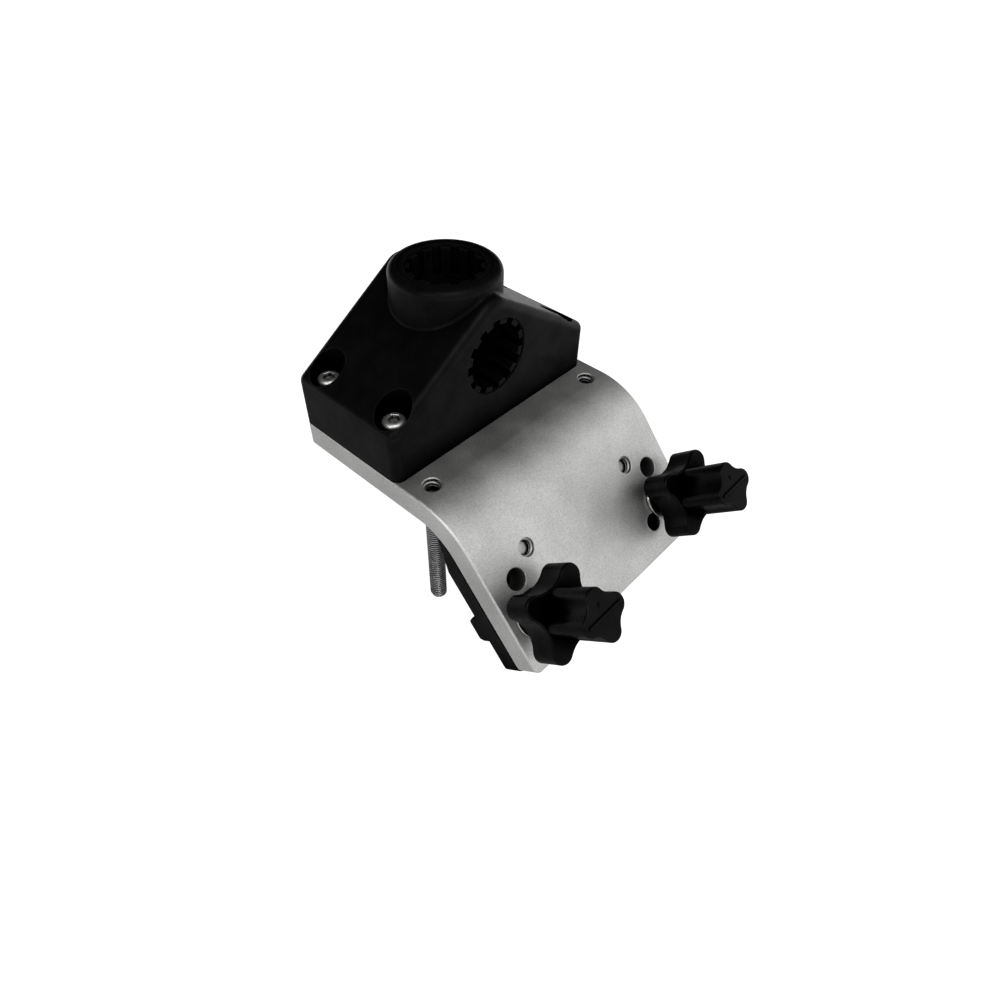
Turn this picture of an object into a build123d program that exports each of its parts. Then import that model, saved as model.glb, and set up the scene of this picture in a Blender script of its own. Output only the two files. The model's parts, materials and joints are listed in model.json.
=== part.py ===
"""Track-clamped rod holder base.

A splined plastic mount is screwed to a bent aluminium plate.  Two knobs pull
T-head bolts through a keyed backing pad to clamp the plate in a gunwale track,
and two threaded studs level the top of the plate.

Frame: the origin is the centre of the mount's base, on the plate's top face.
X runs along the bend and the track, -Y points towards the bend, Z is up.
"""

import os
from math import cos, pi, radians, sin, tan

from build123d import *

os.makedirs("parts", exist_ok=True)

# ---- Driving dimensions: millimetres and degrees ----

# Moulded mount
mount_left = 60.0
mount_right = 62.4
mount_front = 30.0
mount_back = 32.2
mount_end_height = 24.2
mount_slope = 32.8
ridge_radius = 10.0
end_corner_radius = 4.5
side_round = 4.2
boss_radius = 24.4
boss_height = 66.1
boss_round = 3.6
boss_foot_round = 1.5
rim_step = 0.5
rim_step_inset = 0.3
underside_pocket_x = 45.0
underside_pocket_length = 22.0
underside_pocket_width = 21.0
underside_pocket_height = 17.0
underside_pocket_corner = 3.0

# Splined sockets, one in the boss and one in the side face
spline_teeth = 12
top_tip_radius = 15.15
side_tip_radius = 14.8
spline_root_radius = 17.1
spline_notch_width = 4.2
spline_length = 12.0
socket_entry_radius = 17.6
socket_entry_depth = 0.5
side_socket_height = 34.4
side_socket_depth = 30.0

# Mount screws and their pockets
screw_x = 51.0
screw_y = 20.8
screw_pocket_radius = 8.0
screw_seat_height = 22.4
screw_radius = 3.0
screw_head_radius = 5.25
screw_head_height = 3.0
screw_head_round = 2.2
screw_length = 31.75
screw_tip_chamfer = 0.5
screw_clearance = 0.25
screw_hex = 4.8
screw_hex_depth = 1.9
screw_hex_turn = 10.0

# Bent plate
plate_length = 125.0
plate_left = -60.0
plate_thickness = 12.0
plate_corner_radius = 4.0
plate_edge_chamfer = 0.6
bend_start = 42.0
bend_radius = 39.0
bend_angle = 48.2
flange_length = 59.3

# Tapped holes, studs and bolts share one 5/16 inch thread
thread_radius = 3.97
thread_gap = 0.05
thread_mouth_radius = 4.35
stud_spacing = 104.0
stud_y = -39.8
stud_length = 66.4
stud_recess = 6.0
stud_hex = 4.0
stud_hex_depth = 4.5
stud_top_chamfer = 0.6
stud_tip_chamfer = 1.2
bolt_clearance = 0.45

# Holes in the sloped flange: distance from the plate's middle, and down the slope
bolt_x = 47.8
bolt_s = 36.8
pad_screw_x = 35.6
pad_screw_s = 12.0
upper_spare_x = 47.9
upper_spare_s = 20.0
upper_spare_radius = 5.0
lower_spare_x = 35.4
lower_spare_s = 43.7
lower_spare_radius = 4.4

# Backing pad and its key
pad_thickness = 10.6
pad_wedge_start = 5.8
pad_wedge_end = 11.0
pad_wedge_edge = 1.4
pad_edge_chamfer = 0.8
pad_corner_radius = 3.0
key_half_width = 6.3
key_height = 6.5
key_bevel = 1.4
pad_screw_recess = 4.5
pad_screw_head_radius = 7.4
pad_screw_head_gap = 0.3
pad_screw_head_sink = 0.4
pad_screw_pocket_depth = 3.8
pad_screw_hex = 5.0
pad_screw_hex_depth = 2.6

# Clamp bolts, washers and knobs
tee_length = 20.0
tee_width = 12.0
tee_thickness = 4.6
tee_corner_radius = 2.0
tee_gap = 3.0
bolt_reach = 20.0
bolt_tip_chamfer = 0.8
washer_radius = 11.0
washer_thickness = 1.6
knob_boss_radius = 8.2
flange_bottom = 8.1
flange_top = 21.5
knob_top = 43.4
flange_lobe_tip = 20.6
flange_lobe_valley = 12.7
flange_lobe_radius = 5.2
hub_lobe_tip = 11.9
hub_lobe_valley = 8.7
hub_lobe_radius = 4.6
flange_turn = 47.0
knob_lobes = 4
flange_edge_round = 1.0
hub_edge_round = 0.8
end_rib_length = 19.0
end_rib_width = 1.0
end_rib_height = 0.6
end_rib_corner = 0.4
gate_mark_offset = 4.6
gate_mark_radius = 0.7
gate_mark_height = 0.4
insert_radius = 6.4
insert_length = 16.0
knob_bore_depth = 12.0

# Allowances for cutters that run past a face, and for comparing edge lengths
cut_margin = 1.0
length_tolerance = 0.01

# ---- Worked-out places ----

plate_middle = plate_left + plate_length / 2
mount_fall = tan(radians(mount_slope))
ridge_height = mount_end_height + mount_left * mount_fall
right_end_height = ridge_height - mount_right * mount_fall
bend_rad = radians(bend_angle)
flange_y = -bend_start - bend_radius * sin(bend_rad)
flange_z = -bend_radius + bend_radius * cos(bend_rad)
pad_back = plate_thickness + pad_thickness
key_back = pad_back + key_height
pad_screw_seat = pad_screw_pocket_depth - pad_back
screw_places = [(x, y) for x in (-screw_x, screw_x) for y in (-screw_y, screw_y)]
stud_places = [(plate_middle + side * stud_spacing / 2, stud_y) for side in (-1, 1)]

# The sloped flange's outer face: local x along the bend, local y up the slope,
# local z out towards the knobs.  Its origin is on the line where the bend ends.
flange_plane = Plane(
    origin=(plate_middle, flange_y, flange_z),
    x_dir=(1, 0, 0),
    z_dir=(0, -sin(bend_rad), cos(bend_rad)),
)


def flange_level(height):
    """The flange plane raised by height; a negative height goes into the plate."""
    return flange_plane.offset(height)


def pair(x, s):
    """Two places on the flange, left and right of its middle, s down the slope."""
    return [(-x, -s), (x, -s)]


# ---- Shared sketches, used inside a BuildSketch block ----


def draw_lobes(tip, valley, lobe_radius, turn):
    """Star outline: round lobes joined by tangent hollows."""
    half_step = pi / knob_lobes
    lobe_centre = tip - lobe_radius
    reach = lobe_centre * cos(half_step)
    hollow = lobe_centre**2 + valley**2 - 2 * valley * reach - lobe_radius**2
    hollow_radius = hollow / (2 * (lobe_radius - valley + reach))
    hollow_centre = valley + hollow_radius
    share = lobe_radius / (lobe_radius + hollow_radius)

    def polar(radius, angle):
        return Vector(radius * cos(angle), radius * sin(angle))

    with BuildLine() as outline:
        for i in range(knob_lobes):
            angle = radians(turn) + 2 * half_step * i
            lobe = polar(lobe_centre, angle)
            before = lobe + (polar(hollow_centre, angle - half_step) - lobe) * share
            after = lobe + (polar(hollow_centre, angle + half_step) - lobe) * share
            next_lobe = polar(lobe_centre, angle + 2 * half_step)
            onward = next_lobe + (polar(hollow_centre, angle + half_step) - next_lobe) * share
            ThreePointArc(before, polar(tip, angle), after)
            ThreePointArc(after, polar(valley, angle + half_step), onward)
    make_face(outline.edges())


def draw_spline(tip_radius):
    """Socket outline: a circle at the tooth tips with a notch between each pair of teeth."""
    notch_length = spline_root_radius - tip_radius + cut_margin
    Circle(tip_radius)
    with PolarLocations(spline_root_radius - notch_length / 2, spline_teeth):
        Rectangle(notch_length, spline_notch_width)


def cut_socket(mouth, depth, tip_radius):
    """Splined socket sunk from a mouth plane, plain below the teeth."""
    with BuildSketch(mouth) as entry:
        Circle(socket_entry_radius)
    extrude(entry.sketch, amount=-socket_entry_depth, mode=Mode.SUBTRACT)
    with BuildSketch(mouth) as toothed:
        draw_spline(tip_radius)
    extrude(toothed.sketch, amount=-spline_length - socket_entry_depth, mode=Mode.SUBTRACT)
    with BuildSketch(mouth) as plain:
        Circle(tip_radius)
    extrude(plain.sketch, amount=-depth, mode=Mode.SUBTRACT)


def cut_round(plane, places, radius, depth):
    """Plain round holes sunk below a plane."""
    with BuildSketch(plane) as holes:
        with Locations(*places):
            Circle(radius)
    extrude(holes.sketch, amount=-depth, mode=Mode.SUBTRACT)


def cut_tapped(plane, places, depth):
    """Tapped holes at thread size, with a countersunk mouth on the plane."""
    hole_radius = thread_radius + thread_gap
    cut_round(plane, places, hole_radius, depth)
    with BuildSketch(plane) as mouths:
        with Locations(*places):
            Circle(thread_mouth_radius)
    extrude(mouths.sketch, amount=hole_radius - thread_mouth_radius, taper=45, mode=Mode.SUBTRACT)


# ---- Mount housing ----

with BuildPart() as mount_housing:
    with BuildSketch(Plane.XZ) as profile:
        with BuildLine():
            Polyline(
                (-mount_left, 0),
                (-mount_left, mount_end_height),
                (0, ridge_height),
                (mount_right, right_end_height),
                (mount_right, 0),
                close=True,
            )
        make_face()
        end_corners = profile.vertices().sort_by(Axis.Y)[2:4]
        fillet(end_corners, radius=end_corner_radius)
        ridge_corner = profile.vertices().sort_by(Axis.Y)[-1]
        fillet(ridge_corner, radius=ridge_radius)
    extrude(amount=mount_front)
    extrude(profile.sketch, amount=-mount_back)
    side_faces = mount_housing.faces().filter_by(Axis.Y)
    fillet(side_faces.edges().filter_by(lambda e: e.center().Z > 0.1), radius=side_round)
    before_boss = mount_housing.edges()
    with BuildSketch(Plane.XY.offset(side_socket_height)):
        Circle(boss_radius)
    extrude(amount=boss_height - side_socket_height)
    boss_edges = mount_housing.edges() - before_boss
    boss_foot = boss_edges.filter_by(
        lambda e: e.center().Z < ridge_height + cut_margin and abs(e.tangent_at(0.5).Z) < 0.95
    )
    fillet(boss_foot, radius=boss_foot_round)
    boss_top = mount_housing.edges().sort_by(Axis.Z)[-1]
    fillet(boss_top, radius=boss_round)
    with BuildSketch(Plane.XY.offset(boss_height)):
        Circle(boss_radius - boss_round - rim_step_inset)
    extrude(amount=-rim_step, mode=Mode.SUBTRACT)

    top_mouth_height = boss_height - rim_step
    cut_socket(Plane.XY.offset(top_mouth_height), top_mouth_height, top_tip_radius)
    side_mouth = Plane(
        origin=(0, -mount_front, side_socket_height), x_dir=(1, 0, 0), z_dir=(0, -1, 0)
    )
    cut_socket(side_mouth, side_socket_depth, side_tip_radius)

    pocket_depth = ridge_height - screw_seat_height
    screw_hole_radius = screw_radius + screw_clearance
    cut_round(Plane.XY.offset(ridge_height), screw_places, screw_pocket_radius, pocket_depth)
    cut_round(Plane.XY.offset(screw_seat_height), screw_places, screw_hole_radius, screw_seat_height)
    with BuildSketch(Plane.XY):
        with Locations((-underside_pocket_x, 0), (underside_pocket_x, 0)):
            RectangleRounded(
                underside_pocket_length, underside_pocket_width, underside_pocket_corner
            )
    extrude(amount=underside_pocket_height, mode=Mode.SUBTRACT)

mount_housing.part.label = "mount_housing"
export_step(mount_housing.part, "parts/mount_housing.step")

# ---- Mount screws: four button heads with a hex socket ----

with BuildPart() as mount_screws:
    with BuildSketch(Plane.XY.offset(screw_seat_height)):
        with Locations(*screw_places):
            Circle(screw_radius)
    extrude(amount=-screw_length)
    tips = mount_screws.edges().group_by(Axis.Z)[0]
    chamfer(tips, length=screw_tip_chamfer)
    with BuildSketch(Plane.XY.offset(screw_seat_height)):
        with Locations(*screw_places):
            Circle(screw_head_radius)
    extrude(amount=screw_head_height)
    crowns = mount_screws.edges().group_by(Axis.Z)[-1]
    fillet(crowns, radius=screw_head_round)
    with BuildSketch(Plane.XY.offset(screw_seat_height + screw_head_height)):
        with Locations(*screw_places):
            RegularPolygon(screw_hex / 2, 6, major_radius=False, rotation=screw_hex_turn)
    extrude(amount=-screw_hex_depth, mode=Mode.SUBTRACT)

mount_screws.part.label = "mount_screws"
export_step(mount_screws.part, "parts/mount_screws.step")

# ---- Mounting plate ----


def bend_point(angle, depth):
    """A point on the bend, in Y and Z, a given depth under the outer face."""
    radius = bend_radius - depth
    return (-bend_start - radius * sin(angle), -bend_radius + radius * cos(angle))


def slope_point(s, depth):
    """A point on the flange, in Y and Z, s down the slope and depth under its face."""
    y, z = bend_point(bend_rad, depth)
    return (y - s * cos(bend_rad), z - s * sin(bend_rad))


with BuildPart() as mounting_plate:
    with BuildSketch(Plane.YZ.offset(plate_left)):
        with BuildLine():
            Line((mount_back, -plate_thickness), (mount_back, 0))
            Line((mount_back, 0), (-bend_start, 0))
            ThreePointArc((-bend_start, 0), bend_point(bend_rad / 2, 0), bend_point(bend_rad, 0))
            Line(bend_point(bend_rad, 0), slope_point(flange_length, 0))
            Line(slope_point(flange_length, 0), slope_point(flange_length, plate_thickness))
            Line(slope_point(flange_length, plate_thickness), bend_point(bend_rad, plate_thickness))
            ThreePointArc(
                bend_point(bend_rad, plate_thickness),
                bend_point(bend_rad / 2, plate_thickness),
                (-bend_start, -plate_thickness),
            )
            Line((-bend_start, -plate_thickness), (mount_back, -plate_thickness))
        make_face()
    extrude(amount=plate_length)
    back_corners = mounting_plate.faces().sort_by(Axis.Y)[-1].edges().filter_by(Axis.Z)
    low_end = mounting_plate.faces().sort_by(Axis.Z)[0]
    low_corners = low_end.edges().filter_by(lambda e: abs(e.tangent_at(0.5).X) < 0.1)
    fillet(back_corners + low_corners, radius=plate_corner_radius)
    rim_edges = mounting_plate.edges().filter_by(
        lambda e: e.length < plate_length - plate_corner_radius
        and abs(e.length - plate_thickness) > length_tolerance
    )
    chamfer(rim_edges, length=plate_edge_chamfer)

    cut_tapped(Plane.XY, stud_places, plate_thickness + cut_margin)
    cut_round(Plane.XY, screw_places, screw_radius + thread_gap, plate_thickness)
    cut_tapped(flange_plane, pair(pad_screw_x, pad_screw_s), plate_thickness)
    cut_round(flange_plane, pair(bolt_x, bolt_s), thread_radius + bolt_clearance, plate_thickness)
    cut_round(flange_plane, pair(upper_spare_x, upper_spare_s), upper_spare_radius, plate_thickness)
    cut_round(flange_plane, pair(lower_spare_x, lower_spare_s), lower_spare_radius, plate_thickness)

mounting_plate.part.label = "mounting_plate"
export_step(mounting_plate.part, "parts/mounting_plate.step")

# ---- Levelling studs: socket set screws under the plate's top ----


def build_stud(name, place):
    with BuildPart() as stud:
        with BuildSketch(Plane.XY.offset(-stud_recess)):
            with Locations(place):
                Circle(thread_radius)
        extrude(amount=-stud_length)
        chamfer(stud.edges().group_by(Axis.Z)[0], length=stud_tip_chamfer)
        chamfer(stud.edges().group_by(Axis.Z)[-1], length=stud_top_chamfer)
        with BuildSketch(Plane.XY.offset(-stud_recess)):
            with Locations(place):
                RegularPolygon(stud_hex / 2, 6, major_radius=False)
        extrude(amount=-stud_hex_depth, mode=Mode.SUBTRACT)
    stud.part.label = name
    export_step(stud.part, f"parts/{name}.step")


build_stud("levelling_stud_left", stud_places[0])
build_stud("levelling_stud_right", stud_places[1])

# ---- Backing pad with the key that sits in the track slot ----

wedge_turn = pad_wedge_end / (bend_radius - plate_thickness)

with BuildPart() as track_pad:
    with BuildSketch(Plane.YZ.offset(plate_left)):
        with BuildLine():
            wedge_top = bend_point(bend_rad - wedge_turn, plate_thickness)
            wedge_low = bend_point(bend_rad - wedge_turn, plate_thickness + pad_wedge_edge)
            key_left = bolt_s - key_half_width
            key_right = bolt_s + key_half_width
            Line(slope_point(flange_length, plate_thickness), bend_point(bend_rad, plate_thickness))
            ThreePointArc(
                bend_point(bend_rad, plate_thickness),
                bend_point(bend_rad - wedge_turn / 2, plate_thickness),
                wedge_top,
            )
            Polyline(
                wedge_top,
                wedge_low,
                slope_point(pad_wedge_start, pad_back),
                slope_point(key_left, pad_back),
                slope_point(key_left, key_back - key_bevel * 2),
                slope_point(key_left + key_bevel, key_back),
                slope_point(key_right - key_bevel, key_back),
                slope_point(key_right, key_back - key_bevel * 2),
                slope_point(key_right, pad_back),
                slope_point(flange_length, pad_back),
                slope_point(flange_length, plate_thickness),
            )
        make_face()
    extrude(amount=plate_length)
    pad_end = track_pad.faces().sort_by(Axis.Z)[0]
    pad_corners = pad_end.edges().filter_by(lambda e: abs(e.tangent_at(0.5).X) < 0.1)
    fillet(pad_corners, radius=pad_corner_radius)
    end_edges = track_pad.faces().filter_by(Axis.X).edges()
    chamfer(
        end_edges.filter_by(lambda e: abs(e.length - pad_thickness) > length_tolerance),
        length=pad_edge_chamfer,
    )

    pad_hole_radius = thread_radius + bolt_clearance
    pad_pocket_radius = pad_screw_head_radius + pad_screw_head_gap
    pad_screw_places = pair(pad_screw_x, pad_screw_s)
    cut_round(flange_plane, pair(bolt_x, bolt_s), pad_hole_radius, key_back + cut_margin)
    cut_round(flange_plane, pad_screw_places, pad_hole_radius, pad_back)
    cut_round(
        flange_level(pad_screw_seat), pad_screw_places, pad_pocket_radius, pad_screw_pocket_depth
    )

track_pad.part.label = "track_pad"
export_step(track_pad.part, "parts/track_pad.step")

# ---- Pad screws: low heads sunk in the pad, tips just short of the plate's face ----

with BuildPart() as pad_screws:
    with BuildSketch(flange_level(-pad_screw_recess)):
        with Locations(*pair(pad_screw_x, pad_screw_s)):
            Circle(thread_radius)
    extrude(amount=pad_screw_recess + pad_screw_seat)
    with BuildSketch(flange_level(pad_screw_seat)):
        with Locations(*pair(pad_screw_x, pad_screw_s)):
            Circle(pad_screw_head_radius)
    extrude(amount=pad_screw_head_sink - pad_screw_pocket_depth)
    with BuildSketch(flange_level(pad_screw_head_sink - pad_back)):
        with Locations(*pair(pad_screw_x, pad_screw_s)):
            RegularPolygon(pad_screw_hex / 2, 6, major_radius=False)
    extrude(amount=pad_screw_hex_depth, mode=Mode.SUBTRACT)

pad_screws.part.label = "pad_screws"
export_step(pad_screws.part, "parts/pad_screws.step")

# ---- Clamp washers ----

with BuildPart() as clamp_washers:
    with BuildSketch(flange_plane):
        with Locations(*pair(bolt_x, bolt_s)):
            Circle(washer_radius)
            Circle(thread_radius + bolt_clearance, mode=Mode.SUBTRACT)
    extrude(amount=washer_thickness)

clamp_washers.part.label = "clamp_washers"
export_step(clamp_washers.part, "parts/clamp_washers.step")

# ---- T-head bolts, knobs and knob inserts ----


def station(side):
    """The flange plane moved to one clamp bolt's axis; side is -1 or 1."""
    return flange_plane.shift_origin(flange_plane.from_local_coords((side * bolt_x, -bolt_s, 0)))


def build_bolt(name, side):
    axis = station(side)
    with BuildPart() as bolt:
        with BuildSketch(axis.offset(-key_back - tee_gap)):
            RectangleRounded(tee_width, tee_length, tee_corner_radius)
        extrude(amount=-tee_thickness)
        with BuildSketch(axis.offset(-key_back - tee_gap)):
            Circle(thread_radius)
        extrude(amount=key_back + tee_gap + bolt_reach)
        tip = bolt.faces().sort_by(Axis((0, 0, 0), axis.z_dir))[-1]
        chamfer(tip.edges(), length=bolt_tip_chamfer)
    bolt.part.label = name
    export_step(bolt.part, f"parts/{name}.step")


def build_knob(name, side):
    axis = station(side)
    with BuildPart() as knob:
        with BuildSketch(axis.offset(washer_thickness)):
            Circle(knob_boss_radius)
        extrude(amount=flange_bottom - washer_thickness)
        with BuildSketch(axis.offset(flange_bottom)):
            draw_lobes(flange_lobe_tip, flange_lobe_valley, flange_lobe_radius, flange_turn)
        extrude(amount=flange_top - flange_bottom)
        along = Axis((0, 0, 0), axis.z_dir)
        top_level = knob.faces().sort_by(along)[-1]
        fillet(top_level.edges(), radius=flange_edge_round)
        with BuildSketch(axis.offset(flange_top)):
            draw_lobes(hub_lobe_tip, hub_lobe_valley, hub_lobe_radius, 0)
        extrude(amount=knob_top - flange_top)
        end_face = knob.faces().sort_by(along)[-1]
        fillet(end_face.edges(), radius=hub_edge_round)
        with BuildSketch(axis.offset(knob_top)):
            RectangleRounded(end_rib_length, end_rib_width, end_rib_corner)
        extrude(amount=end_rib_height)
        with BuildSketch(axis.offset(knob_top)):
            with Locations((0, gate_mark_offset)):
                Circle(gate_mark_radius)
        extrude(amount=gate_mark_height)
        insert_top = washer_thickness + insert_length
        bore_top = insert_top + knob_bore_depth
        cut_round(axis.offset(bore_top), [(0, 0)], thread_radius + bolt_clearance, bore_top)
        cut_round(axis.offset(insert_top), [(0, 0)], insert_radius, insert_top)
    knob.part.label = name
    export_step(knob.part, f"parts/{name}.step")


def build_insert(name, side):
    axis = station(side)
    with BuildPart() as insert:
        with BuildSketch(axis.offset(washer_thickness)):
            Circle(insert_radius)
            Circle(thread_radius + thread_gap, mode=Mode.SUBTRACT)
        extrude(amount=insert_length)
    insert.part.label = name
    export_step(insert.part, f"parts/{name}.step")


for side, word in ((-1, "left"), (1, "right")):
    build_bolt(f"track_bolt_{word}", side)
    build_knob(f"clamp_knob_{word}", side)
    build_insert(f"knob_insert_{word}", side)
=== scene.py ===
"""Looks of the track-clamped rod holder base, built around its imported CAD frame.

Units are metres, and every place comes from the frame: node boxes, node meshes and
joint axes.  The housing, plate, pad, knobs and inserts keep their CAD shape and get
their finish here.  Screws, studs, T-bolts and washers are rebuilt with real threads,
recesses and edge rounds, and the tapped holes get their thread ridges.
"""

import json
from math import ceil, cos, floor, pi, radians, sin

import bmesh
import bpy
from mathutils import Matrix, Vector


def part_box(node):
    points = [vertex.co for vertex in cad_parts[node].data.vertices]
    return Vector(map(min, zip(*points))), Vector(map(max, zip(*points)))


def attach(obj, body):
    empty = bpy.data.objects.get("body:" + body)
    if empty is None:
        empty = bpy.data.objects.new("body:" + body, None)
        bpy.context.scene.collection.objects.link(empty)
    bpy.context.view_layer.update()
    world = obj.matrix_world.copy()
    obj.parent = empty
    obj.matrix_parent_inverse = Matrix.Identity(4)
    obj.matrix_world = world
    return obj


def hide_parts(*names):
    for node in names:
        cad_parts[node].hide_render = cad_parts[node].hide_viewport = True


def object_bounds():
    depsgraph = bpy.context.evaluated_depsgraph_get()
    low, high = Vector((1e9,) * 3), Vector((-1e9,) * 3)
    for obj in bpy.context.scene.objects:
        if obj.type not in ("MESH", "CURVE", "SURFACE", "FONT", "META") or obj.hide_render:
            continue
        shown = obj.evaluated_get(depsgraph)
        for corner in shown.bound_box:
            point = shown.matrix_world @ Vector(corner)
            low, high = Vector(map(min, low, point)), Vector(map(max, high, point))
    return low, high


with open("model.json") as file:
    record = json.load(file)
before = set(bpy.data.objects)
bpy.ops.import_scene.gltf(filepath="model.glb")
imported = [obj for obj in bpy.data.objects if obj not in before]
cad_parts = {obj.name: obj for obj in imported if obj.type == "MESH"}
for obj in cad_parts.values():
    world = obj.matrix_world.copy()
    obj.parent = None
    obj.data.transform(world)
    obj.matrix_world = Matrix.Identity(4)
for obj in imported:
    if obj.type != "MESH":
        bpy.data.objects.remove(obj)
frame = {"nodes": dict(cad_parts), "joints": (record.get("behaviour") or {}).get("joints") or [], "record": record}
cad_low, cad_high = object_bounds()

MM = 0.001

# ---- Sizes the frame doesn't state, in metres and degrees ----

# 5/16 inch coarse thread: studs, T-bolts, pad screws and the holes they run in
THREAD_PITCH = 1.411 * MM
THREAD_CREST = 3.95 * MM
THREAD_ROOT = 3.12 * MM
TAPPED_WALL = 4.02 * MM
TAPPED_CREST = 3.38 * MM
THREAD_BURY = 0.05 * MM
THREAD_ROOT_SHARE = 0.4
THREAD_CREST_SHARE = 0.12
THREAD_STEPS = 36
THREAD_RUNOUT_SHARE = 1 / 3
THREAD_LEAST_SHARE = 0.02
TAPPED_MOUTH_DEPTH = 0.4 * MM
TAPPED_THREAD_GAP = 0.3 * MM

# Mount screws: M6 button heads with a hex socket
SCREW_PITCH = 1.0 * MM
SCREW_CREST = 2.98 * MM
SCREW_ROOT = 2.4 * MM
SCREW_THREAD_START = 8.0 * MM
SCREW_TIP_CHAMFER = 0.5 * MM
SCREW_HEAD_HEIGHT = 3.0 * MM
SCREW_HEAD_SIDE = 0.35 * MM
SCREW_CROWN_RADIUS = 3.3 * MM
SCREW_HEX = 2.45 * MM
SCREW_HEX_DEPTH = 1.9 * MM
SCREW_HEX_LEAD = 0.2 * MM
SCREW_CONE_DEPTH = 0.7 * MM
SCREW_FIRST_TURN = 10.0
SCREW_TURN_STEP = 37.0
SCREW_SEAT_ROUND = 0.2 * MM
SCREW_CROWN_STEPS = 8

# Hex sockets end in a drill cone, cut off at this share of the hexagon's size
CONE_TIP_SHARE = 0.2

ROUND_STEPS = 64
SHARP_ANGLE = 38.0

# Camera: where it stands, and how far its aim passes from the origin, across and up the view
CAMERA_AZIMUTH = -48.632
CAMERA_ELEVATION = 45.313
CAMERA_ROLL = 1.706
CAMERA_DISTANCE = 349.33 * MM
CAMERA_AIM_RIGHT = 24.02 * MM
CAMERA_AIM_UP = -51.32 * MM
CAMERA_LENS = 26.388

X_AXIS = Vector((1, 0, 0))
Y_AXIS = Vector((0, 1, 0))
Z_AXIS = Vector((0, 0, 1))


# ---- Places read from the frame ----


def joint(name):
    return next(j for j in frame["joints"] if j["name"] == name)


FLANGE_NORMAL = Vector(joint("turn_knob_left")["axis"]).normalized()


def standing(origin, up):
    """A frame at origin with local z along up and local x along the row's X."""
    side = up.cross(X_AXIS).normalized()
    matrix = Matrix((X_AXIS, side, up)).transposed().to_4x4()
    matrix.translation = origin
    return matrix


def vertices_of(node):
    return [v.co for v in frame["nodes"][node].data.vertices]


def reach(points, direction):
    """Lowest and highest distance of points along direction."""
    along = [p.dot(direction) for p in points]
    return min(along), max(along)


def solids(node, directions):
    """The node's vertices sorted into its separate solids, split about the node's middle."""
    points = vertices_of(node)
    middle = [sum(reach(points, d)) / 2 for d in directions]
    groups = {}
    for p in points:
        key = tuple(p.dot(d) > m for d, m in zip(directions, middle))
        groups.setdefault(key, []).append(p)
    return [groups[key] for key in sorted(groups)]


def axis_point(points, up, height):
    """The point on a turned solid's axis at a height along up."""
    side = up.cross(X_AXIS).normalized()
    across = sum(reach(points, X_AXIS)) / 2
    slope = sum(reach(points, side)) / 2
    return X_AXIS * across + side * slope + up * height


# ---- Mesh building in a local frame, z up ----


def circle(radius, z, count=ROUND_STEPS):
    turn = 2 * pi / count
    return [Vector((radius * cos(i * turn), radius * sin(i * turn), z)) for i in range(count)]


def hexagon(flat_radius, z, count=ROUND_STEPS):
    """A hexagon by its distance to the flats, with points spread evenly by angle."""
    points = []
    for i in range(count):
        angle = 2 * pi * i / count
        off_flat = angle % (pi / 3) - pi / 6
        radius = flat_radius / cos(off_flat)
        points.append(Vector((radius * cos(angle), radius * sin(angle), z)))
    return points


def rounded_rectangle(width, length, corner, z, count=ROUND_STEPS):
    """A rectangle with round corners, its points shared out between the four corners."""
    points = []
    per_corner = count // 4
    for quarter in range(4):
        middle_angle = pi / 4 + quarter * pi / 2
        centre_x = (width / 2 - corner) * (1 if cos(middle_angle) > 0 else -1)
        centre_y = (length / 2 - corner) * (1 if sin(middle_angle) > 0 else -1)
        for i in range(per_corner):
            angle = quarter * pi / 2 + i / (per_corner - 1) * pi / 2
            points.append(
                Vector((centre_x + corner * cos(angle), centre_y + corner * sin(angle), z))
            )
    return points


def loft(bm, rings, looped=False):
    """Skins rings of equal counts; the ends are capped unless the rings close on themselves."""
    loops = [[bm.verts.new(p) for p in ring] for ring in rings]
    pairs = list(zip(loops, loops[1:]))
    if looped:
        pairs.append((loops[-1], loops[0]))
    for low, high in pairs:
        count = len(low)
        for i in range(count):
            after = (i + 1) % count
            bm.faces.new((low[i], low[after], high[after], high[i]))
    if not looped:
        bm.faces.new(reversed(loops[0]))
        bm.faces.new(loops[-1])


def add_thread(bm, root, crest, pitch, low, high, phase=0.0, chamfer=0.0):
    """A closed right-handed thread ridge from low to high, thinning to nothing at both ends.

    root is the buried radius and crest the free one, so crest < root makes an internal
    thread.  phase is the height of the ridge at angle zero.  With a chamfer the ridge is
    cut back by a 45 degree cone that starts that far inside the crest at each end.
    """
    root_half = THREAD_ROOT_SHARE * pitch
    crest_half = THREAD_CREST_SHARE * pitch
    first = ceil((low + root_half - phase) / pitch * THREAD_STEPS)
    last = floor((high - root_half - phase) / pitch * THREAD_STEPS)
    runout = THREAD_STEPS * THREAD_RUNOUT_SHARE
    loops = []
    for k in range(first, last + 1):
        angle = 2 * pi * k / THREAD_STEPS
        z = phase + pitch * k / THREAD_STEPS
        share = min(1.0, (k - first) / runout, (last - k) / runout)
        if chamfer:
            room = min(z - low, high - z) - chamfer
            share = min(share, 1 + room / abs(crest - root))
        share = max(share, THREAD_LEAST_SHARE)
        free = root + (crest - root) * share
        section = (
            (root, -root_half),
            (free, -crest_half - (root_half - crest_half) * (1 - share)),
            (free, crest_half + (root_half - crest_half) * (1 - share)),
            (root, root_half),
        )
        ring = [Vector((r * cos(angle), r * sin(angle), z + h)) for r, h in section]
        loops.append([bm.verts.new(p) for p in ring])
    for low_loop, high_loop in zip(loops, loops[1:]):
        for i in range(4):
            after = (i + 1) % 4
            bm.faces.new((low_loop[i], low_loop[after], high_loop[after], high_loop[i]))
    bm.faces.new(reversed(loops[0]))
    bm.faces.new(loops[-1])


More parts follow.
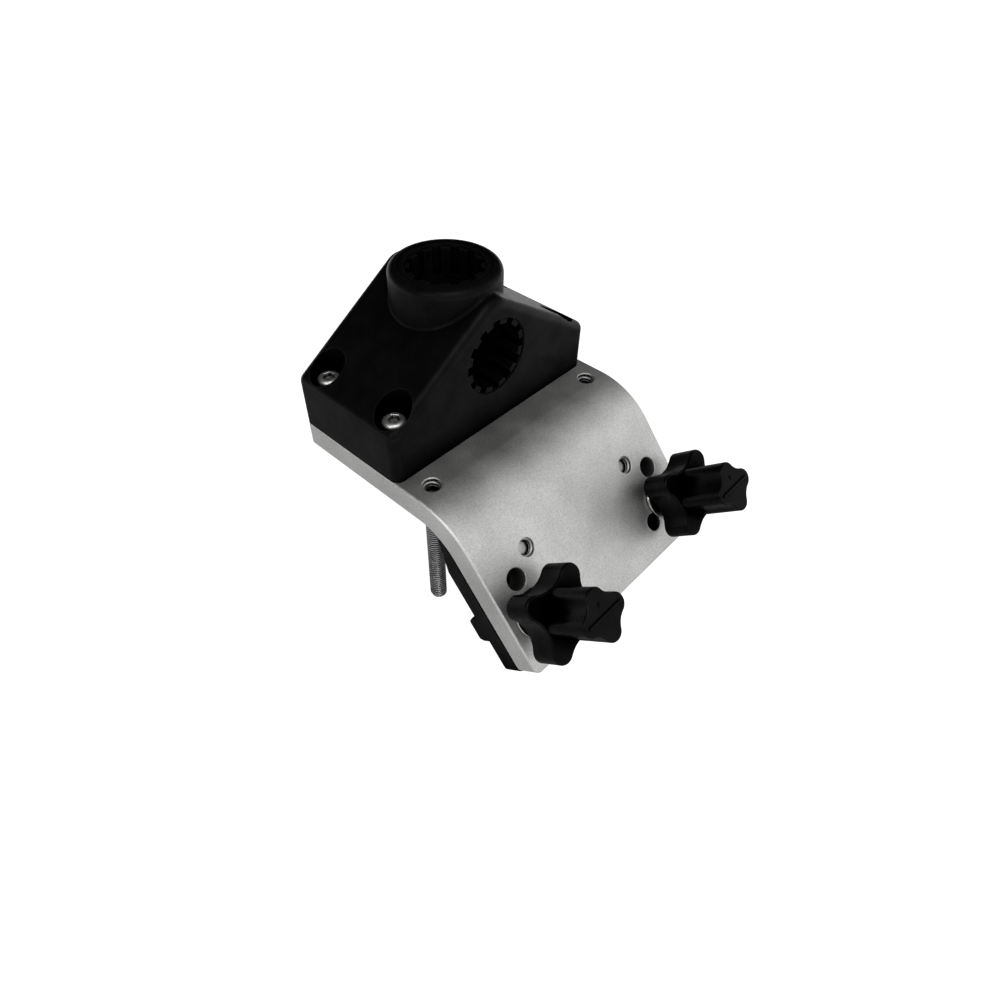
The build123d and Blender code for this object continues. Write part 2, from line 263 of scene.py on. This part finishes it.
def piece(name, bm, place, body, finish):
    """Turns a finished bmesh into a smooth-shaded piece that rides on a body."""
    bmesh.ops.recalc_face_normals(bm, faces=bm.faces)
    mesh = bpy.data.meshes.new(name)
    bm.to_mesh(mesh)
    bm.free()
    mesh.transform(place)
    mesh.shade_smooth()
    mesh.set_sharp_from_angle(angle=radians(SHARP_ANGLE))
    mesh.materials.append(finish)
    made = bpy.data.objects.new(name, mesh)
    bpy.context.scene.collection.objects.link(made)
    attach(made, body)
    return made


# ---- Finishes ----


class Finish:
    """A Principled material whose nodes read row coordinates in metres."""

    def __init__(self, name, metallic=0.0, specular=0.5):
        self.material = bpy.data.materials.new(name)
        self.material.use_nodes = True
        self.nodes = self.material.node_tree.nodes
        self.links = self.material.node_tree.links
        self.shader = self.nodes["Principled BSDF"]
        self.shader.inputs["Metallic"].default_value = metallic
        self.shader.inputs["Specular IOR Level"].default_value = specular
        self.place = self.nodes.new("ShaderNodeTexCoord").outputs["Object"]

    def join(self, source, target):
        self.links.new(source, target)

    def noise(self, size, detail=2.0, roughness=0.5):
        """Cloud noise, 0 to 1, with features of a size in metres."""
        texture = self.nodes.new("ShaderNodeTexNoise")
        texture.inputs["Scale"].default_value = 1.0 / size
        texture.inputs["Detail"].default_value = detail
        texture.inputs["Roughness"].default_value = roughness
        self.join(self.place, texture.inputs["Vector"])
        return texture.outputs["Fac"]

    def remap(self, value, from_low, from_high, to_low, to_high):
        node = self.nodes.new("ShaderNodeMapRange")
        node.inputs["From Min"].default_value = from_low
        node.inputs["From Max"].default_value = from_high
        node.inputs["To Min"].default_value = to_low
        node.inputs["To Max"].default_value = to_high
        self.join(value, node.inputs["Value"])
        return node.outputs["Result"]

    def combine(self, operation, first, second):
        node = self.nodes.new("ShaderNodeMath")
        node.operation = operation
        for value, socket in zip((first, second), node.inputs):
            if isinstance(value, (int, float)):
                socket.default_value = value
            else:
                self.join(value, socket)
        return node.outputs["Value"]

    def mixed(self, first, second, share):
        """Two 0 to 1 values blended, with a share of the first."""
        return self.combine(
            "ADD",
            self.combine("MULTIPLY", first, share),
            self.combine("MULTIPLY", second, 1.0 - share),
        )

    def blend_color(self, factor, low, high):
        node = self.nodes.new("ShaderNodeMix")
        node.data_type = "RGBA"
        self.join(factor, node.inputs["Factor"])
        sockets = [s for s in node.inputs if s.type == "RGBA"]
        for value, socket in zip((low, high), sockets):
            if isinstance(value, tuple):
                socket.default_value = (*value, 1.0)
            else:
                self.join(value, socket)
        return next(s for s in node.outputs if s.type == "RGBA")

    def openness(self, distance, own_piece=False):
        """0 deep in holes and pockets, rising to 1 on open faces."""
        node = self.nodes.new("ShaderNodeAmbientOcclusion")
        node.samples = 8
        node.only_local = own_piece
        node.inputs["Distance"].default_value = distance
        return node.outputs["AO"]

    def rounded(self, radius):
        """Shading normal with edges rounded to a radius."""
        node = self.nodes.new("ShaderNodeBevel")
        node.samples = 4
        node.inputs["Radius"].default_value = radius
        return node.outputs["Normal"]

    def edges(self, radius):
        """0 on flat stretches, rising to 1 on edges."""
        geometry = self.nodes.new("ShaderNodeNewGeometry")
        product = self.nodes.new("ShaderNodeVectorMath")
        product.operation = "DOT_PRODUCT"
        self.join(self.rounded(radius), product.inputs[0])
        self.join(geometry.outputs["True Normal"], product.inputs[1])
        return self.remap(product.outputs["Value"], 0.995, 0.9, 0.0, 1.0)

    def bump(self, height, depth, normal):
        """A normal pushed about by a 0 to 1 height, depth metres deep."""
        node = self.nodes.new("ShaderNodeBump")
        node.inputs["Distance"].default_value = depth
        self.join(height, node.inputs["Height"])
        self.join(normal, node.inputs["Normal"])
        return node.outputs["Normal"]

    def finish(self, color, roughness, normal):
        for value, name in ((color, "Base Color"), (roughness, "Roughness"), (normal, "Normal")):
            self.join(value, self.shader.inputs[name])
        return self.material

    def hush(self, share):
        """Takes away a share of all reflection, as fine self-shadowing grain does."""
        black = self.nodes.new("ShaderNodeBsdfDiffuse")
        black.inputs["Color"].default_value = (0.0, 0.0, 0.0, 1.0)
        mix = self.nodes.new("ShaderNodeMixShader")
        mix.inputs["Fac"].default_value = share
        self.join(self.shader.outputs["BSDF"], mix.inputs[1])
        self.join(black.outputs["BSDF"], mix.inputs[2])
        self.join(mix.outputs["Shader"], self.nodes["Material Output"].inputs["Surface"])


# How far the painted edge highlight on plastic is lifted above its lightest colour
EDGE_HIGHLIGHT_LIFT = 0.03
PLASTIC_GRAIN = 0.42 * MM
PLASTIC_MOTTLE = 9 * MM
PLASTIC_FLOW = 3 * MM
PLASTIC_EDGE = 0.5 * MM
PLASTIC_ROUND = 0.3 * MM
PLASTIC_HOLLOW = 24 * MM
# Steepness of the painted shade in plastic hollows
HOLLOW_SHADE_POWER = 2.5
PLATE_DIMPLE = 0.28 * MM
PLATE_SPECKLE = 0.8 * MM
PLATE_CLOUD = 22 * MM
PLATE_EDGE = 0.5 * MM
PLATE_ROUND = 0.7 * MM
PLATE_HOLLOW = 9 * MM
PLATE_BUMP = 0.024 * MM
METAL_TONE = 3 * MM
METAL_ROUND = 0.1 * MM


def moulded_plastic(name, low, high, specular, smooth, rough, depth, matt):
    """Black moulded plastic: fine pebble grain, soft mottling, a painted highlight on edges, painted shade in
    hollows.

    Colour runs from low to high and roughness from smooth to rough.  The grain is depth
    metres deep, and takes away a share matt of the reflection.
    """
    f = Finish(name)
    grain = f.noise(PLASTIC_GRAIN, detail=3.0, roughness=0.6)
    mottle = f.noise(PLASTIC_MOTTLE, detail=3.0)
    flow = f.noise(PLASTIC_FLOW)
    color = f.blend_color(f.remap(f.mixed(grain, mottle, 0.45), 0.35, 0.68, 0.0, 1.0), low, high)
    # Painted highlight: edges get a paler colour that stands in for the light they catch
    edge_highlight = tuple(c + EDGE_HIGHLIGHT_LIFT for c in high)
    color = f.blend_color(f.combine("MULTIPLY", f.edges(PLASTIC_EDGE), 0.5), color, edge_highlight)
    # Painted shade: the colour fades to black in holes and pockets by ambient occlusion, and the specular fades
    # there too
    open_share = f.openness(PLASTIC_HOLLOW)
    color = f.blend_color(f.combine("POWER", open_share, HOLLOW_SHADE_POWER), (0.0, 0.0, 0.0), color)
    open_sheen = f.remap(open_share, 0.6, 0.95, 0.0, specular)
    sheen = f.combine("MULTIPLY", open_sheen, f.remap(mottle, 0.35, 0.65, 0.85, 1.15))
    f.join(sheen, f.shader.inputs["Specular IOR Level"])
    f.hush(matt)
    roughness = f.remap(f.mixed(flow, grain, 0.5), 0.3, 0.7, smooth, rough)
    normal = f.bump(grain, depth, f.rounded(PLASTIC_ROUND))
    normal = f.bump(mottle, 3.0 * depth, normal)
    return f.finish(color, roughness, normal)


def blasted_aluminium(name):
    """Bead-blasted, clear-anodised aluminium: tiny dimples and speckle, a painted highlight on edges and painted
    shade in holes.
    """
    f = Finish(name, metallic=1.0)
    dimples = f.noise(PLATE_DIMPLE, detail=2.5, roughness=0.65)
    speckle = f.noise(PLATE_SPECKLE, detail=4.0, roughness=0.75)
    cloud = f.noise(PLATE_CLOUD, detail=3.0)
    shade = f.mixed(speckle, cloud, 0.7)
    color = f.blend_color(
        f.remap(shade, 0.38, 0.62, 0.0, 1.0), (0.6, 0.6, 0.588), (0.88, 0.88, 0.866)
    )
    # Painted highlight: edges get a near-white colour that stands in for the light they catch
    color = f.blend_color(f.edges(PLATE_EDGE), color, (0.98, 0.98, 0.98))
    # Painted shade: the colour goes to black inside the plate's own holes by ambient occlusion
    open_share = f.openness(PLATE_HOLLOW, own_piece=True)
    hole_shade = f.remap(open_share, 0.55, 0.9, 0.01, 1.0)
    color = f.blend_color(hole_shade, (0.0, 0.0, 0.0), color)
    roughness = f.remap(f.mixed(cloud, dimples, 0.6), 0.3, 0.7, 0.42, 0.54)
    normal = f.bump(f.mixed(dimples, speckle, 0.5), PLATE_BUMP, f.rounded(PLATE_ROUND))
    return f.finish(color, roughness, normal)


def bright_metal(name, low, high, smooth, rough, grain, depth, hollow):
    """Turned or rolled metal: fine marks, uneven tone, and painted shade in hollows of a size."""
    f = Finish(name, metallic=1.0)
    marks = f.noise(grain, detail=3.0, roughness=0.6)
    tone = f.noise(METAL_TONE, detail=4.0)
    color = f.blend_color(f.remap(tone, 0.3, 0.7, 0.0, 1.0), low, high)
    # Painted shade: the colour goes to black in hollows by ambient occlusion
    hollow_shade = f.remap(f.openness(hollow), 0.5, 0.92, 0.01, 1.0)
    color = f.blend_color(hollow_shade, (0.0, 0.0, 0.0), color)
    roughness = f.remap(f.mixed(marks, tone, 0.5), 0.3, 0.7, smooth, rough)
    normal = f.bump(marks, depth, f.rounded(METAL_ROUND))
    return f.finish(color, roughness, normal)


nylon = moulded_plastic(
    "moulded_nylon", (0.0018, 0.0018, 0.002), (0.005, 0.005, 0.0053),
    specular=0.06, smooth=0.32, rough=0.44, depth=0.028 * MM, matt=0.0,
)
knob_plastic = moulded_plastic(
    "knob_plastic", (0.0012, 0.0012, 0.0014), (0.003, 0.003, 0.0032),
    specular=0.28, smooth=0.24, rough=0.34, depth=0.004 * MM, matt=0.62,
)
pad_plastic = moulded_plastic(
    "pad_plastic", (0.005, 0.005, 0.0055), (0.012, 0.012, 0.0125),
    specular=0.15, smooth=0.5, rough=0.66, depth=0.018 * MM, matt=0.35,
)
aluminium = blasted_aluminium("blasted_aluminium")
stainless = bright_metal(
    "stainless", (0.66, 0.65, 0.63), (0.80, 0.79, 0.77),
    smooth=0.2, rough=0.32, grain=0.15 * MM, depth=0.002 * MM, hollow=2 * MM,
)
blasted_steel = bright_metal(
    "blasted_steel", (0.86, 0.86, 0.85), (0.95, 0.95, 0.94),
    smooth=0.5, rough=0.6, grain=0.3 * MM, depth=0.006 * MM, hollow=0.3 * MM,
)
satin_steel = bright_metal(
    "satin_steel", (0.7, 0.69, 0.67), (0.84, 0.83, 0.81),
    smooth=0.4, rough=0.5, grain=0.2 * MM, depth=0.003 * MM, hollow=3.5 * MM,
)
stud_steel = bright_metal(
    "stud_steel", (0.66, 0.66, 0.67), (0.80, 0.80, 0.81),
    smooth=0.22, rough=0.3, grain=0.2 * MM, depth=0.002 * MM, hollow=1.1 * MM,
)
brass = bright_metal(
    "turned_brass", (0.55, 0.40, 0.18), (0.75, 0.58, 0.30),
    smooth=0.2, rough=0.36, grain=0.12 * MM, depth=0.004 * MM, hollow=3 * MM,
)

FINISHES = {
    "mount_nylon": nylon,
    "knob_plastic": knob_plastic,
    "pad_plastic": pad_plastic,
    "plate_aluminium": aluminium,
    "stainless": stainless,
    "stud_steel": stud_steel,
    "insert_brass": brass,
}

for subpart in frame["record"]["subparts"]:
    cad_materials = frame["nodes"][subpart["node"]].data.materials
    cad_materials.clear()
    cad_materials.append(FINISHES[subpart["material_slot"]])


# ---- Levelling studs: hex-socket threaded rods ----

STUD_HEX = 2.0 * MM
STUD_HEX_DEPTH = 4.5 * MM
STUD_CONE_DEPTH = 1.1 * MM
STUD_TOP_CHAMFER = 0.5 * MM
STUD_TIP_CHAMFER = 1.1 * MM


def threaded_core(low, high, root, low_chamfer, high_chamfer):
    """Rings of a plain core with chamfered or square ends, from its low end to its high end."""
    rings = [circle(root - low_chamfer, low)]
    if low_chamfer:
        rings.append(circle(root, low + low_chamfer))
    if high_chamfer:
        rings.append(circle(root, high - high_chamfer))
    rings.append(circle(root - high_chamfer, high))
    return rings


def build_stud(word):
    node = f"levelling_stud_{word}"
    points = vertices_of(node)
    low, high = reach(points, Z_AXIS)
    place = standing(axis_point(points, Z_AXIS, high), Z_AXIS)
    length = high - low
    bm = bmesh.new()
    rings = threaded_core(-length, 0.0, THREAD_ROOT, STUD_TIP_CHAMFER / 2, STUD_TOP_CHAMFER / 2)
    rings.append(hexagon(STUD_HEX, 0.0))
    rings.append(hexagon(STUD_HEX, -STUD_HEX_DEPTH))
    rings.append(circle(STUD_HEX * CONE_TIP_SHARE, -STUD_HEX_DEPTH - STUD_CONE_DEPTH))
    loft(bm, rings)
    add_thread(
        bm, THREAD_ROOT - THREAD_BURY, THREAD_CREST, THREAD_PITCH, -length, 0.0,
        chamfer=STUD_TOP_CHAMFER,
    )
    stud = piece(f"threaded_stud_{word}", bm, place, f"stud_{word}", stud_steel)
    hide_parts(node)
    return place


# ---- Thread ridges in the free length of the tapped holes ----


def build_hole_thread(name, place, low, high, phase=0.0):
    bm = bmesh.new()
    add_thread(bm, TAPPED_WALL + THREAD_BURY, TAPPED_CREST, THREAD_PITCH, low, high, phase)
    piece(name, bm, place, "base", aluminium)


for word in ("left", "right"):
    stud_place = build_stud(word)
    stud_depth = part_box("mounting_plate")[1].z - stud_place.translation.z
    build_hole_thread(
        f"stud_hole_thread_{word}", stud_place,
        TAPPED_THREAD_GAP, stud_depth - TAPPED_MOUTH_DEPTH, phase=THREAD_PITCH / 2,
    )

# ---- Pad screws: threaded tips just short of the flange's face, hex heads behind ----

PAD_HEAD_RADIUS = 7.4 * MM
PAD_HEAD_HEIGHT = 3.4 * MM
PAD_HEAD_SIDE = 1.2 * MM
PAD_HEX = 2.5 * MM
PAD_HEX_DEPTH = 2.4 * MM
PAD_TIP_CHAMFER = 0.5 * MM
PAD_TIP_DEPTH = 4.5 * MM
PAD_CONE_DEPTH = 0.6 * MM
PAD_DOME_BULGE = 0.45
PAD_DOME_ANGLES = range(0, 76, 15)

for word, points in zip(("left", "right"), solids("pad_screws", [X_AXIS])):
    low, high = reach(points, FLANGE_NORMAL)
    place = standing(axis_point(points, FLANGE_NORMAL, low), FLANGE_NORMAL)
    length = high - low
    dome = []
    crown = PAD_HEAD_HEIGHT - PAD_HEAD_SIDE
    for t in (radians(a) for a in PAD_DOME_ANGLES):
        dome.append(circle(PAD_HEAD_RADIUS * cos(t) ** PAD_DOME_BULGE, crown - crown * sin(t)))
    bm = bmesh.new()
    rings = [circle(PAD_HEX * CONE_TIP_SHARE, PAD_HEX_DEPTH + PAD_CONE_DEPTH)]
    rings.append(hexagon(PAD_HEX, PAD_HEX_DEPTH))
    rings.append(hexagon(PAD_HEX, 0.0))
    rings += reversed(dome)
    rings.append(circle(PAD_HEAD_RADIUS, PAD_HEAD_HEIGHT))
    rings.append(circle(THREAD_ROOT, PAD_HEAD_HEIGHT))
    rings.append(circle(THREAD_ROOT, length - PAD_TIP_CHAMFER))
    rings.append(circle(THREAD_ROOT - PAD_TIP_CHAMFER, length))
    loft(bm, rings)
    add_thread(
        bm, THREAD_ROOT - THREAD_BURY, THREAD_CREST, THREAD_PITCH, PAD_HEAD_HEIGHT, length,
        chamfer=PAD_TIP_CHAMFER,
    )
    screw = piece(f"pad_screw_{word}", bm, place, "base", blasted_steel)
    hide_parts("pad_screws")
    build_hole_thread(
        f"pad_hole_thread_{word}", place, length + TAPPED_THREAD_GAP,
        length + PAD_TIP_DEPTH - TAPPED_MOUTH_DEPTH, phase=THREAD_PITCH / 2,
    )

# ---- T-bolts ----

TEE_WIDTH = 12.0 * MM
TEE_LENGTH = 20.0 * MM
TEE_THICKNESS = 4.6 * MM
TEE_CORNER = 2.0 * MM
TEE_CHAMFER = 0.5 * MM
BOLT_TIP_CHAMFER = 0.8 * MM


def build_bolt(word):
    node = f"track_bolt_{word}"
    points = vertices_of(node)
    low, high = reach(points, FLANGE_NORMAL)
    place = standing(axis_point(points, FLANGE_NORMAL, low), FLANGE_NORMAL)
    length = high - low
    bm = bmesh.new()
    rings = []
    for inset, z in (
        (TEE_CHAMFER, 0.0),
        (0.0, TEE_CHAMFER),
        (0.0, TEE_THICKNESS - TEE_CHAMFER),
        (TEE_CHAMFER, TEE_THICKNESS),
    ):
        width, reach_along = TEE_WIDTH - 2 * inset, TEE_LENGTH - 2 * inset
        rings.append(rounded_rectangle(width, reach_along, TEE_CORNER - inset / 2, z))
    loft(bm, rings)
    shank_foot = TEE_THICKNESS - THREAD_BURY
    loft(bm, threaded_core(shank_foot, length, THREAD_ROOT, 0.0, BOLT_TIP_CHAMFER / 2))
    add_thread(
        bm, THREAD_ROOT - THREAD_BURY, THREAD_CREST, THREAD_PITCH, TEE_THICKNESS, length,
        chamfer=BOLT_TIP_CHAMFER / 2,
    )
    bolt = piece(f"tee_bolt_{word}", bm, place, f"bolt_{word}", stainless)
    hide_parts(node)


for word in ("left", "right"):
    build_bolt(word)

# ---- Washers under the knobs ----

WASHER_ROUND = 0.3 * MM
WASHER_BORE_GAP = 0.4 * MM
WASHER_STEPS = 96
WASHER_CORNER_STEPS = 3

for word, points in zip(("left", "right"), solids("clamp_washers", [X_AXIS])):
    low, high = reach(points, FLANGE_NORMAL)
    place = standing(axis_point(points, FLANGE_NORMAL, low), FLANGE_NORMAL)
    across = reach(points, X_AXIS)
    outer = (across[1] - across[0]) / 2
    inner = TAPPED_WALL + WASHER_BORE_GAP
    thick = high - low
    section = []
    for centre_r, centre_z, start in (
        (outer - WASHER_ROUND, WASHER_ROUND, -90),
        (outer - WASHER_ROUND, thick - WASHER_ROUND, 0),
        (inner + WASHER_ROUND, thick - WASHER_ROUND, 90),
        (inner + WASHER_ROUND, WASHER_ROUND, 180),
    ):
        for step in range(WASHER_CORNER_STEPS + 1):
            angle = radians(start + step * 90 / WASHER_CORNER_STEPS)
            radius = centre_r + WASHER_ROUND * cos(angle)
            height = centre_z + WASHER_ROUND * sin(angle)
            section.append(circle(radius, height, WASHER_STEPS))
    bm = bmesh.new()
    loft(bm, section, looped=True)
    washer = piece(f"flat_washer_{word}", bm, place, "base", stainless)
    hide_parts("clamp_washers")

# ---- Mount screws: button heads with a hex socket ----


def button_head(radius):
    """Rings from the seat round the crown and down into the hex socket."""
    rings = [circle(radius - SCREW_SEAT_ROUND, 0.0), circle(radius, SCREW_SEAT_ROUND)]
    rise = SCREW_HEAD_HEIGHT - SCREW_HEAD_SIDE
    for step in range(SCREW_CROWN_STEPS + 1):
        t = step / SCREW_CROWN_STEPS * pi / 2
        ring_radius = SCREW_CROWN_RADIUS + (radius - SCREW_CROWN_RADIUS) * cos(t)
        rings.append(circle(ring_radius, SCREW_HEAD_SIDE + rise * sin(t)))
    rings.append(hexagon(SCREW_HEX + SCREW_HEX_LEAD, SCREW_HEAD_HEIGHT))
    rings.append(hexagon(SCREW_HEX, SCREW_HEAD_HEIGHT - SCREW_HEX_LEAD))
    rings.append(hexagon(SCREW_HEX, SCREW_HEAD_HEIGHT - SCREW_HEX_DEPTH))
    cone_tip = SCREW_HEAD_HEIGHT - SCREW_HEX_DEPTH - SCREW_CONE_DEPTH
    rings.append(circle(CONE_TIP_SHARE * SCREW_HEX, cone_tip))
    return rings


for index, points in enumerate(solids("mount_screws", [X_AXIS, Y_AXIS])):
    low, high = reach(points, Z_AXIS)
    across = reach(points, X_AXIS)
    seat = high - SCREW_HEAD_HEIGHT
    place = standing(axis_point(points, Z_AXIS, seat), Z_AXIS)
    turn = radians(SCREW_FIRST_TURN + SCREW_TURN_STEP * index)
    length = seat - low
    bm = bmesh.new()
    rings = threaded_core(-length, 0.0, SCREW_ROOT, SCREW_TIP_CHAMFER, 0.0)
    rings += button_head((across[1] - across[0]) / 2)
    loft(bm, rings)
    add_thread(
        bm, SCREW_ROOT - THREAD_BURY, SCREW_CREST, SCREW_PITCH, -length, -SCREW_THREAD_START,
        chamfer=SCREW_TIP_CHAMFER,
    )
    spun = place @ Matrix.Rotation(turn, 4, "Z")
    screw = piece(f"mount_screw_{index + 1}", bm, spun, "base", satin_steel)
    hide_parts("mount_screws")

# ---- Floor, light and camera ----

FLOOR_DROP = 0.5 * MM
FLOOR_SIZE = 8.0
FLOOR_WHITE = 0.96
# Floor glow seen from the object: dim near it as a painted shadow, bright far off
FLOOR_NEAR_GLOW = 0.06
FLOOR_FAR_GLOW = 1.4
GLOW_NEAR = 0.2
GLOW_FAR = 0.55
SKY_DARK = 0.025
SKY_BRIGHT = 0.79
SKY_BRIGHT_SIDE = (0.24, -0.85, 0.3)
SKY_FALLOFF = 1.9
SOFTBOXES = (
    ("overhead", (-0.28, -0.36, 0.89), 0.8, 0.4, 1.6),
    ("left", (-0.82, -0.05, 0.55), 0.8, 0.25, 1.1),
    ("front", (-0.8, -0.56, 0.3), 0.9, 0.3, 0.2),
    ("right", (0.85, -0.35, 0.4), 0.9, 0.3, 0.35),
)


def camera_switch(f, seen, unseen):
    """seen for the camera's own rays, unseen for light that lands on the object."""
    path = f.nodes.new("ShaderNodeLightPath").outputs["Is Camera Ray"]
    hidden = f.combine("SUBTRACT", 1.0, path)
    return f.combine(
        "ADD", f.combine("MULTIPLY", path, seen), f.combine("MULTIPLY", hidden, unseen)
    )


def build_floor():
    f = Finish("pale_floor", specular=0.1)
    f.shader.inputs["Roughness"].default_value = 0.8
    tint = f.blend_color(f.noise(60 * MM, detail=3.0), (0.6, 0.6, 0.6), (0.64, 0.64, 0.64))
    f.join(tint, f.shader.inputs["Base Color"])
    far = f.nodes.new("ShaderNodeVectorMath")
    far.operation = "LENGTH"
    f.join(f.place, far.inputs[0])
    # Painted light: for light that reaches the object the floor glows, dim near the object as a painted shadow and
    # bright far off; the camera sees it evenly white
    glow = f.remap(far.outputs["Value"], GLOW_NEAR, GLOW_FAR, FLOOR_NEAR_GLOW, FLOOR_FAR_GLOW)
    f.shader.inputs["Emission Color"].default_value = (1, 1, 1, 1)
    f.join(camera_switch(f, FLOOR_WHITE, glow), f.shader.inputs["Emission Strength"])
    bm = bmesh.new()
    bmesh.ops.create_grid(bm, x_segments=8, y_segments=8, size=FLOOR_SIZE)
    mesh = bpy.data.meshes.new("floor")
    bm.to_mesh(mesh)
    bm.free()
    mesh.materials.append(f.material)
    floor = bpy.data.objects.new("floor", mesh)
    floor.location.z = cad_low.z - FLOOR_DROP
    bpy.context.scene.collection.objects.link(floor)


def build_softbox(name, direction, distance, size, power):
    """A square area light that faces the object's middle from a direction."""
    middle = (cad_low + cad_high) / 2
    away = Vector(direction).normalized()
    data = bpy.data.lights.new(name, "AREA")
    data.size = size
    data.energy = power
    box = bpy.data.objects.new(name, data)
    box.location = middle + away * distance
    box.rotation_euler = (-away).to_track_quat("-Z", "Y").to_euler()
    bpy.context.scene.collection.objects.link(box)


class Sky(Finish):
    """The world's nodes, with the same helpers as a finish."""

    def __init__(self, world):
        world.use_nodes = True
        self.nodes = world.node_tree.nodes
        self.links = world.node_tree.links
        self.place = self.nodes.new("ShaderNodeTexCoord").outputs["Generated"]


def build_world():
    """A dark studio with one broad bright side, so that upward faces stay quiet."""
    world = bpy.data.worlds.new("studio")
    sky = Sky(world)
    facing = sky.nodes.new("ShaderNodeVectorMath")
    facing.operation = "DOT_PRODUCT"
    sky.join(sky.place, facing.inputs[0])
    facing.inputs[1].default_value = Vector(SKY_BRIGHT_SIDE).normalized()
    side = sky.combine("POWER", sky.combine("MAXIMUM", facing.outputs["Value"], 0.0), SKY_FALLOFF)
    glow = sky.combine("ADD", sky.combine("MULTIPLY", side, SKY_BRIGHT), SKY_DARK)
    strength = camera_switch(sky, 1.0, glow)
    sky.join(strength, sky.nodes["Background"].inputs["Strength"])
    sky.nodes["Background"].inputs["Color"].default_value = (1, 1, 1, 1)
    bpy.context.scene.world = world


def build_camera():
    azimuth, elevation, roll = (radians(a) for a in (CAMERA_AZIMUTH, CAMERA_ELEVATION, CAMERA_ROLL))
    back = Vector(
        (sin(azimuth) * cos(elevation), -cos(azimuth) * cos(elevation), sin(elevation))
    )
    level_right = (-back).cross(Z_AXIS).normalized()
    level_up = level_right.cross(-back)
    right = level_right * cos(roll) + level_up * sin(roll)
    up = level_up * cos(roll) - level_right * sin(roll)
    data = bpy.data.cameras.new("camera")
    data.lens = CAMERA_LENS
    data.clip_start = 0.01
    camera = bpy.data.objects.new("camera", data)
    matrix = Matrix((right, up, back)).transposed().to_4x4()
    matrix.translation = right * CAMERA_AIM_RIGHT + up * CAMERA_AIM_UP + back * CAMERA_DISTANCE
    camera.matrix_world = matrix
    bpy.context.scene.collection.objects.link(camera)
    bpy.context.scene.camera = camera


build_floor()
build_world()
for name, direction, distance, size, power in SOFTBOXES:
    build_softbox(name, direction, distance, size, power)
build_camera()
bpy.context.scene.view_settings.view_transform = "Standard"
